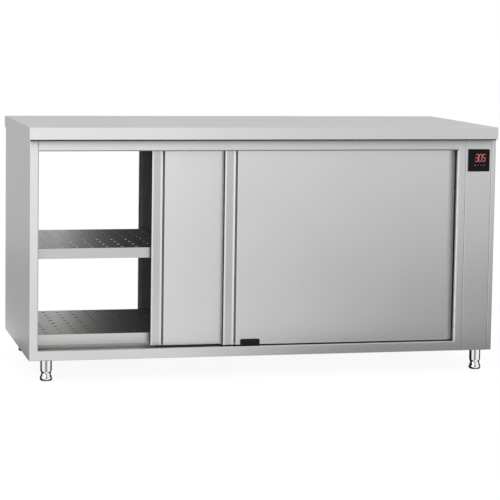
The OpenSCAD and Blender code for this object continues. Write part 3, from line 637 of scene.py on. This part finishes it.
class CUPBOARD_OT_chamber(bpy.types.Operator):
    """Finishes of the chamber's linings, floor and shelves, the door backs and the worktop's board"""
    bl_idname = "cupboard.chamber"
    bl_label = "Chamber and shelves"

    def execute(self, context):
        steel = context.scene.cupboard_steel
        coat(CHAMBER, mill_steel("steel_mill", tuple(steel.chamber_colour)))
        # Painted light: the floor pan takes a lighter copy of the chamber's mill steel
        coat(["floor_pan"], mill_steel("steel_floor_painted_light", tuple(steel.lit_floor_colour)))
        # Painted shade: the door backs take a darker mill steel than the chamber
        backs = [d + "_door_back" for d in DOORS]
        coat(backs, mill_steel("steel_door_back_painted_shade", tuple(steel.shaded_back_colour)))
        # The bottom shelf's lips get a lighter copy of the lip colour, as painted light
        for node, name, lip in (("middle_shelf", "steel_shelf", steel.lip_colour),
                                ("bottom_shelf", "steel_shelf_low_lit_lip", steel.lit_low_lip_colour)):
            coat([node], shelf_steel(name, tuple(lip), tuple(steel.shaded_shelf_top_colour), steel.brush_width))
        coat(["worktop_core"], chipboard("board_chip"))
        return {"FINISHED"}


class CUPBOARD_OT_hanging_gear(bpy.types.Operator):
    """Finishes of the hanging gear, and of the other zinc, nylon, rubber and black pieces"""
    bl_idname = "cupboard.hanging_gear"
    bl_label = "Hanging gear"

    def execute(self, context):
        steel = context.scene.cupboard_steel
        zinc = zinc_sheet("zinc_spangle", tuple(steel.zinc_colour))
        coat(ZINC + [d + "_hangers" for d in DOORS], zinc)
        nylon = moulded_plastic("nylon_pale", (0.72, 0.72, 0.67), roughness=0.42, grain=0.0006)
        coat(["terminal_block"] + [d + "_roller_" + end for d in DOORS for end in "ab"], nylon)
        rubber = moulded_plastic("rubber_black", (0.02, 0.02, 0.02), roughness=0.8, grain=0.0012)
        coat(["track_stops"], rubber)
        black = moulded_plastic("plastic_black", (0.006, 0.006, 0.0065), roughness=0.45,
                                grain=0.0007, gloss=0.15)
        coat(BLACK, black)
        return {"FINISHED"}


class CUPBOARD_OT_heater(bpy.types.Operator):
    """Finishes of the fan, its shaft, the probe and the heating element"""
    bl_idname = "cupboard.heater"
    bl_label = "Fan heater"

    def execute(self, context):
        bright = bright_steel("steel_bright", (0.6, 0.6, 0.61))
        coat(["fan_impeller", "fan_shaft", "temperature_probe"], bright)
        coat(["ring_element"], heated_tube("steel_heated"))
        return {"FINISHED"}


class CUPBOARD_OT_legs(bpy.types.Operator):
    """Chrome for the legs and feet, and a thread on each levelling screw"""
    bl_idname = "cupboard.legs"
    bl_label = "Legs and feet"

    def execute(self, context):
        fittings = context.scene.cupboard_fittings
        chrome = chrome_plate("chrome_polished", tuple(context.scene.cupboard_steel.chrome_colour))
        coat(["leg_tubes"] + ["foot_" + c for c in CORNERS], chrome)
        steel = bright_steel("steel_thread", (0.55, 0.55, 0.56))
        pitch = fittings.thread_pitch
        tube_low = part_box("leg_tubes")[0].z
        for corner in CORNERS:
            node = "foot_" + corner
            low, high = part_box(node)
            middle = (low + high) / 2
            radius = self.screw_radius(node, tube_low)
            grid, faces = thread_ridge(radius, fittings.thread_depth, pitch, tube_low, high.z - pitch)
            grid = grid + np.array([middle.x, middle.y, 0])
            piece("thread_" + corner, grid, faces, steel, node)
        return {"FINISHED"}

    def screw_radius(self, node, height):
        """Half the width of what a foot has above a height, which is its screw alone."""
        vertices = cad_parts[node].data.vertices
        points = np.empty(3 * len(vertices), np.float32)
        vertices.foreach_get("co", points)
        points = points.reshape(-1, 3).astype(float)
        across = points[points[:, 2] > height, 0]
        return (across.max() - across.min()) / 2


class CUPBOARD_OT_controller(bpy.types.Operator):
    """Window of the controller with its reading and its touch marks"""
    bl_idname = "cupboard.controller"
    bl_label = "Controller"

    def execute(self, context):
        fittings = context.scene.cupboard_fittings
        coat(["controller_window"], tinted_window("window_black"))
        low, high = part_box("controller_window")
        middle = np.array([(low.x + high.x) / 2, low.y - PRINT_PROUD, (low.z + high.z) / 2])
        self.reading(fittings, middle)
        self.touch_marks(fittings, middle)
        return {"FINISHED"}

    def reading(self, fittings, middle):
        """Lit and unlit bars of the digits, right of and over the middle, leaning to the right; the
        unlit ones get a faint painted glow.
        """
        height = fittings.numeral_height
        width, bar = 0.42 * height, 0.1 * height
        gap, lean = 0.4 * bar, 0.12
        right, over = 0.0045, 0.0085
        lit, dark = [], []
        for place, numeral in enumerate(fittings.reading):
            start = right + (place - (len(fittings.reading) - 1) / 2) * fittings.numeral_pitch
            for name, (x, z, flat) in BARS.items():
                entry = (start + x * width, over + z * height / 2, flat)
                (lit if name in NUMERALS[numeral] else dark).append(entry)
        glow = lit_bar("reading_glow", tuple(fittings.reading_colour), strength=0.43)
        # Painted glow: the unlit bars get a faint glow of their own
        ghost_glow = lit_bar("reading_ghost", (0.05, 0.012, 0.012), strength=0.1)
        for name, bars, material in (("reading_lit", lit, glow), ("reading_unlit", dark, ghost_glow)):
            flat = np.array([b[2] for b in bars])
            middles = np.array([b[:2] for b in bars])
            lengths = np.where(flat, width, height / 2) - gap
            points, faces = bars_mesh(middles, flat, lengths, bar, PRINT_DEPTH)
            points[..., 0] += (points[..., 2] - over) * lean
            piece(name, points + middle, faces, material, "cabinet")

    def touch_marks(self, fittings, middle):
        """Four plain marks in a row under the middle: a ring, two bars and another ring."""
        size = fittings.touch_mark
        pitch, right, drop = 3.4 * size, 0.002, 0.0165
        bar_length, bar_width = 1.3 * size, 0.3 * size
        printed = moulded_plastic("print_grey", (0.3, 0.31, 0.31), roughness=0.5, grain=0.0006)
        offsets = (np.arange(4) - 1.5) * pitch + right
        for index, hole in ((0, 0.55), (3, 0.3)):
            ring, faces = disc_ring(size / 2, hole * size / 2, PRINT_DEPTH)
            place = middle + np.array([offsets[index], 0, -drop])
            piece("touch_ring_%d" % index, ring + place, faces, printed, "cabinet")
        bars = np.stack([offsets[1:3], np.full(2, -drop)], -1)
        points, faces = bars_mesh(bars, np.array([True, True]), bar_length, bar_width, PRINT_DEPTH)
        piece("touch_bars", points + middle, faces, printed, "cabinet")


class CUPBOARD_OT_screws(bpy.types.Operator):
    """Pan-head screws that hold the rear cover of the control bay"""
    bl_idname = "cupboard.screws"
    bl_label = "Screws"

    def execute(self, context):
        radius = context.scene.cupboard_fittings.screw_radius
        low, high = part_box("bay_rear_cover")
        panel_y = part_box("right_side_panel")[1].y
        edge, end = 0.009, 0.02
        xs = np.array([low.x + edge, high.x - edge])
        zs = np.array([low.z + end, (low.z + high.z) / 2, high.z - end])
        places = np.stack(np.meshgrid(xs, [panel_y], zs), -1).reshape(-1, 3)
        head, faces = screw_head(radius)
        upright = np.stack([head[..., 0], head[..., 2], head[..., 1]], -1).reshape(1, -1, 3)
        points = upright + places[:, None, :]
        steel = bright_steel("steel_screw", (0.58, 0.58, 0.59))
        faces = repeat_faces(faces, len(places), upright.shape[1])
        piece("rear_cover_screws", points, faces, steel, "cabinet")
        return {"FINISHED"}


class CUPBOARD_OT_seals(bpy.types.Operator):
    """Rubber on the doors' grip edges and in their grooves, jamb buffers and seals, and rail edging,
    coloured also as painted shade and a painted highlight
    """
    bl_idname = "cupboard.seals"
    bl_label = "Seals and buffers"

    def execute(self, context):
        fittings = context.scene.cupboard_fittings
        # Black and grey rubber, dark also as painted shade in the gap between the doors, in the grooves
        # and under the top rails
        black = moulded_plastic("rubber_edge_painted_shade", (0.012, 0.012, 0.012), roughness=0.7, gloss=0.2)
        grey = moulded_plastic("rubber_grey_painted_shade", (0.16, 0.16, 0.16), roughness=0.7, gloss=0.2)
        # The pale silicone is also a painted highlight on the jamb's edge, and the grey silicone painted
        # shade in the reveal
        pale = moulded_plastic("silicone_pale_painted_highlight", (0.86, 0.86, 0.85), roughness=0.5)
        dull = moulded_plastic("silicone_grey_painted_shade", (0.3, 0.3, 0.3), roughness=0.6, gloss=0.2)
        for door in DOORS:
            self.door_strips(door, fittings, black, grey)
        # Each end has the box corner that its face lies at, and its way inwards along y
        for end, corner, way in (("front", 0, 1), ("rear", 1, -1)):
            self.jamb_strips(end, corner, way, fittings, pale, dull)
            self.rail_edging(end, corner, way, fittings.edging_size, grey)
        return {"FINISHED"}

    def door_strips(self, door, fittings, black, grey):
        """A black seal on the grip edge and a grey strip on the groove's floor, dark also as painted
        shade in the gap between the doors and in the groove; a rear door is a front one turned.

        Depths count from the door's face, and the groove from its grip edge.
        """
        low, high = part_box(door + "_door_skin")
        corner, way = (low, 1) if door.startswith("front") else (high, -1)
        seal_depth, end, groove, groove_depth = 0.0101, 0.003, 0.03925, 0.008
        bulge = fittings.seal_bulge
        up = (0, 0, high.z - low.z - 2 * end)
        edge = (corner.x, corner.y + way * seal_depth, low.z + end)
        grid, faces = half_round(edge, (0, 1, 0), (-way, 0, 0), up, fittings.seal_width, bulge)
        piece("edge_seal_" + door, grid, faces, black, door + "_door")
        floor = (corner.x + way * groove, corner.y + way * groove_depth, low.z + end)
        grid, faces = half_round(floor, (1, 0, 0), (0, -way, 0), up, fittings.groove_strip, bulge)
        piece("groove_strip_" + door, grid, faces, grey, door + "_door")

    def jamb_strips(self, end, corner, way, fittings, pale, dull):
        """A pale buffer and a grey seal on each jamb, from the lower rail up to the upper one; the
        buffer's pale also stands in for a highlight on the jamb's edge, and the seal's grey for the
        shade in the reveal.
        """
        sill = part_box(end + "_bottom_rail")
        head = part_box(end + "_top_rail")
        up = (0, 0, head[0].z - sill[1].z)
        strips = (("jamb_buffer", fittings.buffer_width, fittings.buffer_depth, pale, "pale_plastic"),
                  ("jamb_seal", fittings.jamb_seal_width, fittings.jamb_seal_depth, dull, "rubber"))
        for side, x, out in (("left", sill[0].x, 1), ("right", sill[1].x, -1)):
            for name, width, depth, material, slot in strips:
                place = (x, sill[corner].y + way * depth, sill[1].z)
                grid, faces = half_round(place, (0, 1, 0), (out, 0, 0), up, width, fittings.seal_bulge)
                piece("%s_%s_%s" % (name, end, side), grid, faces, material, "cabinet")

    def rail_edging(self, end, corner, way, size, grey):
        """A grey half-round edging under the top rail, behind its face and twice as wide as high; its
        grey also stands in for the shade at the rail's lower edge.
        """
        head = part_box(end + "_top_rail")
        low, high = head
        inset, width = 1.5 * size, 2 * size
        place = (low.x, head[corner].y + way * inset, low.z)
        grid, faces = half_round(place, (0, 1, 0), (0, 0, -1), (high.x - low.x, 0, 0), width, size)
        piece("edging_" + end, grid, faces, grey, "cabinet")


class CUPBOARD_OT_seams(bpy.types.Operator):
    """Sealant under the worktop's front and rear edge, whose dark also stands in for the shade under the
    overhang, and ground welds at the feet of the left posts
    """
    bl_idname = "cupboard.seams"
    bl_label = "Sealant and welds"

    def execute(self, context):
        fittings = context.scene.cupboard_fittings
        # The bead's near black is sealant and also painted shade under the worktop's overhang
        sealant = moulded_plastic("sealant_painted_shade", (0.012, 0.012, 0.012), roughness=0.7, gloss=0.15)
        steel = bpy.data.materials["steel_brushed_upright"]
        left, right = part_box("left_side_panel")[0].x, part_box("right_side_panel")[1].x
        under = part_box("worktop")[0].z
        # Each end has the box corner that its face lies at, and its way outwards along y
        for end, corner, way in (("front", 0, -1), ("rear", 1, 1)):
            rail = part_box(end + "_bottom_rail")
            face = rail[corner].y
            run = (right - left, 0, 0)
            grid, faces = corner_fill((left, face, under), (0, way, 0), (0, 0, -1), run,
                                      fittings.bead_size)
            piece("sealant_" + end, grid, faces, sealant, "cabinet")
            run = (0, 0, rail[1].z - rail[0].z)
            grid, faces = corner_fill((rail[0].x, face, rail[0].z), (-1, 0, 0), (0, -way, 0), run,
                                      fittings.weld_size)
            piece("weld_" + end, grid, faces, steel, "cabinet")
        return {"FINISHED"}


class CUPBOARD_OT_studio(bpy.types.Operator):
    """Floor, white room, soft lights, reflection cards and the camera"""
    bl_idname = "cupboard.studio"
    bl_label = "Studio"

    def execute(self, context):
        studio = context.scene.cupboard_studio
        self.room(context.scene, studio)
        self.floor()
        self.front_cards()
        self.leg_cards()
        self.left_cards()
        self.far_cards()
        self.lights(studio)
        self.camera(context.scene, studio)
        context.scene.view_settings.view_transform = "Standard"
        return {"FINISHED"}

    def seen(self, tree):
        """1 for what the camera sees, directly, in a reflection or through glass."""
        path = add(tree, "LightPath")
        total = path.outputs["Is Camera Ray"]
        for name in ("Is Glossy Ray", "Is Transmission Ray"):
            step = add(tree, "Math", operation="MAXIMUM")
            tree.links.new(total, step.inputs[0])
            tree.links.new(path.outputs[name], step.inputs[1])
            total = step.outputs["Value"]
        return total

    def room(self, scene, studio):
        """White surroundings; their light on the object has its own strength."""
        world = bpy.data.worlds.new("white_room")
        world.use_nodes = True
        scene.world = world
        tree = world.node_tree
        tree.nodes.clear()
        light = add(tree, "Background", {"Color": (1, 1, 1, 1), "Strength": studio.room_light})
        view = add(tree, "Background", {"Color": (1, 1, 1, 1), "Strength": 1.0})
        mix_out(tree, self.seen(tree), light, view, "OutputWorld")

    def floor(self):
        """Pale floor that keeps the object's shadow: the camera sees white plus a little light."""
        half, drop = 30.0, 0.0003
        pale, shadowed, white = 0.8, 0.1, 0.93
        x, y = np.meshgrid([-half, half], [-half, half])
        points = np.stack([x, y, np.full_like(x, -drop)], -1)
        _, tree = stage_sheet("floor", points, [[0, 1, 3, 2]])
        plain = add(tree, "BsdfDiffuse", {"Color": (pale, pale, pale, 1)})
        shadow = add(tree, "BsdfDiffuse", {"Color": (shadowed, shadowed, shadowed, 1)})
        glow = add(tree, "Emission", {"Color": (1, 1, 1, 1), "Strength": white})
        both = add(tree, "AddShader")
        tree.links.new(shadow.outputs[0], both.inputs[0])
        tree.links.new(glow.outputs[0], both.inputs[1])
        mix_out(tree, self.seen(tree), plain, both, "OutputMaterial")

    def card(self, name, origin, side, up, grey, fade, one_sided=False):
        """A grey card that only reflections see, fading by fade(u, v) with u along side and v along up.

        A one-sided card is clear from its back.
        """
        steps = 33
        u, v = np.meshgrid(np.linspace(0, 1, steps), np.linspace(0, 1, steps))
        points = np.array(origin) + u[..., None] * np.array(side) + v[..., None] * np.array(up)
        made, tree = stage_sheet(name, points, grid_faces(steps, steps, False).tolist())
        shares = made.data.attributes.new("fade", "FLOAT", "POINT")
        shares.data.foreach_set("value", fade(u, v).astype(np.float32).ravel())
        weight = add(tree, "Attribute", attribute_name="fade").outputs["Fac"]
        if one_sided:
            drop = add(tree, "Math", operation="SUBTRACT", use_clamp=True)
            tree.links.new(weight, drop.inputs[0])
            tree.links.new(add(tree, "NewGeometry").outputs["Backfacing"], drop.inputs[1])
            weight = drop.outputs["Value"]
        clear = add(tree, "BsdfTransparent")
        face = add(tree, "Emission", {"Color": (grey, grey, grey, 1), "Strength": 1.0})
        mix_out(tree, weight, clear, face, "OutputMaterial")
        for ray in ("camera", "diffuse", "transmission", "volume_scatter", "shadow"):
            setattr(made, "visible_" + ray, False)

    def front_cards(self):
        """Dark floor before the doors, a grey strip at the rail, shade under the worktop's edge."""
        low, high = CAD_BOX
        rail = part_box("front_bottom_rail")[0]

        def before_doors(u, v):
            """Comes in from the left end and from afar, and thins a little close to the rail."""
            start, ramp, reach, dip, near = 0.065, 0.29, 0.95, 0.18, 0.3
            share = ease((u - start) / ramp) * ease(v / reach) ** 2
            return share * (1 - dip + dip * ease((1 - v) / near))

        width, depth = 5.6, 6.0
        self.card("card_floor", (low.x, rail.y - depth, rail.z), (width, 0, 0), (0, depth, 0),
                  grey=0.14, fade=before_doors, one_sided=True)
        start, width, depth, lift = -0.45, 2.2, 0.3, 0.0005
        self.card("card_rail", (start, rail.y - depth, rail.z + lift), (width, 0, 0), (0, depth, 0),
                  grey=0.2, fade=soft_edges(left=0.4, right=0.1, bottom=0.5), one_sided=True)
        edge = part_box("worktop")[0]
        out, drop = 0.08, 0.017
        self.card("card_worktop", tuple(edge), (high.x - low.x, 0, 0), (0, -out, -drop),
                  grey=0.03, fade=soft_edges(top=0.5), one_sided=True)

    def leg_cards(self):
        """Shade under the body, a dark card beside each front leg, and a grey stripe that it mirrors."""
        low, high = CAD_BOX
        rail_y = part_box("front_bottom_rail")[0].y
        left, right, inset, depth, lift = 0.25, 0.38, 0.032, 0.918, 0.001
        self.card("card_under", (low.x - left, low.y + inset, lift),
                  (high.x - low.x + left + right, 0, 0), (0, depth, 0),
                  grey=0.02, fade=soft_edges(left=0.09, right=0.09, top=0.2))
        depth, height, gap, lift = 0.45, 0.068, 0.004, 0.002
        for name, x, behind in (("left", low.x - gap, 0.05), ("right", high.x + gap, 0.03)):
            self.card("card_leg_" + name, (x, rail_y + behind, lift), (0, depth, 0), (0, 0, height),
                      grey=0.02, fade=soft_edges(right=0.3))
        width, height, before, lift = 0.075, 0.072, 0.01, 0.001
        for name, x in (("left", -0.743), ("right", 0.738)):
            self.card("card_stripe_" + name, (x + width / 2, rail_y - before, lift), (-width, 0, 0),
                      (0, 0, height), grey=0.28, fade=soft_edges(left=0.45, right=0.45), one_sided=True)

    def left_cards(self):
        """Grey cards for the left panel's reflections, and shade in the chamber beside the rear door."""
        low = CAD_BOX[0]
        reach, back = 5.0, 3.2
        width, height = 4.1, 3.0
        self.card("card_left", (-reach, back, 0), (width, 0, 0), (0, 0, height),
                  grey=0.62, fade=soft_edges(left=0.2, top=0.3))
        gap, lift = 0.05, 0.002
        self.card("card_left_floor", (-reach, low.y, lift), (reach + low.x - gap, 0, 0),
                  (0, back - low.y, 0), grey=0.45, fade=soft_edges(left=0.2, right=0.02, bottom=0.05))

        def beside_door(u, v):
            """Thickest beside the door, and gone at the open end."""
            share, curve = 0.97, 2.5
            return share * (1 - (1 - u) ** curve)

        width, height, y, foot = 0.29, 0.69, 0.286, 0.1
        door_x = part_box("rear_left_door_skin")[0].x
        self.card("card_chamber", (door_x - width, y, foot), (width, 0, 0), (0, 0, height),
                  grey=0.03, fade=beside_door)

    def far_cards(self):
        """A bright card behind the camera, and a grey one far behind the body."""
        self.card("card_glow", (-1.6, -8.0, 0), (4, 0, 0), (0, 0, 2.4),
                  grey=2.1, fade=soft_edges(left=0.2, right=0.6, top=0.5))
        self.card("card_rear", (-6, 6.5, 0.9), (14, 0, 0), (0, 0, 3.5),
                  grey=0.66, fade=soft_edges(top=0.3))

    def lights(self, studio):
        """A broad light to the left behind the camera and a soft key nearer the object.

        Each line gives a lamp's name, power, place and size.
        """
        lamps = (("light_broad", studio.broad_light, (-5.5, -8.4, 2.8), (8.4, 5.6)),
                 ("light_key", studio.key_light, (-3.2, -4.5, 3.6), (2.4, 2.4)))
        aim = (CAD_BOX[0] + CAD_BOX[1]) / 2
        for name, power, place, size in lamps:
            lamp = bpy.data.lights.new(name, "AREA")
            lamp.shape = "RECTANGLE"
            lamp.size, lamp.size_y = size
            lamp.energy = power
            made = bpy.data.objects.new(name, lamp)
            made.location = place
            made.rotation_euler = (aim - made.location).to_track_quat("-Z", "Y").to_euler()
            bpy.context.scene.collection.objects.link(made)

    def camera(self, scene, studio):
        """Camera turned by heading and dip from straight ahead, then rolled about its view."""
        lens = bpy.data.cameras.new("camera")
        lens.sensor_width = 36.0
        lens.lens = studio.lens
        lens.shift_x, lens.shift_y = studio.shift
        lens.clip_end = 200.0
        eye = bpy.data.objects.new("camera", lens)
        turn = Matrix.Rotation(-studio.heading, 4, "Z")
        tilt = Matrix.Rotation(math.pi / 2 - studio.dip, 4, "X")
        roll = Matrix.Rotation(studio.roll, 4, "Z")
        eye.matrix_world = Matrix.Translation(studio.eye) @ turn @ tilt @ roll
        scene.collection.objects.link(eye)
        scene.camera = eye


class CUPBOARD_PT_finishes(bpy.types.Panel):
    """Sidebar panel that lists the settings and the steps"""
    bl_idname = "CUPBOARD_PT_finishes"
    bl_label = "Hot cupboard"
    bl_space_type = "VIEW_3D"
    bl_region_type = "UI"
    bl_category = "Cupboard"

    def draw(self, context):
        for key in SETTINGS:
            group = getattr(context.scene, key)
            box = self.layout.box()
            for name in group.__annotations__:
                box.prop(group, name)
        for step in STEPS:
            self.layout.operator(step.bl_idname)


SETTINGS = {"cupboard_steel": SteelSettings, "cupboard_fittings": FittingSettings,
            "cupboard_studio": StudioSettings}
STEPS = (CUPBOARD_OT_studio, CUPBOARD_OT_sheets, CUPBOARD_OT_chamber, CUPBOARD_OT_hanging_gear,
         CUPBOARD_OT_heater, CUPBOARD_OT_legs, CUPBOARD_OT_controller, CUPBOARD_OT_screws,
         CUPBOARD_OT_seals, CUPBOARD_OT_seams)
CLASSES = (*SETTINGS.values(), *STEPS, CUPBOARD_PT_finishes)


def register():
    for cls in CLASSES:
        bpy.utils.register_class(cls)
    for name, group in SETTINGS.items():
        setattr(bpy.types.Scene, name, bpy.props.PointerProperty(type=group))


def unregister():
    for name in SETTINGS:
        delattr(bpy.types.Scene, name)
    for cls in reversed(CLASSES):
        bpy.utils.unregister_class(cls)


def main():
    register()
    for step in STEPS:
        group, name = step.bl_idname.split(".")
        getattr(getattr(bpy.ops, group), name)()


if __name__ == "__main__":
    main()
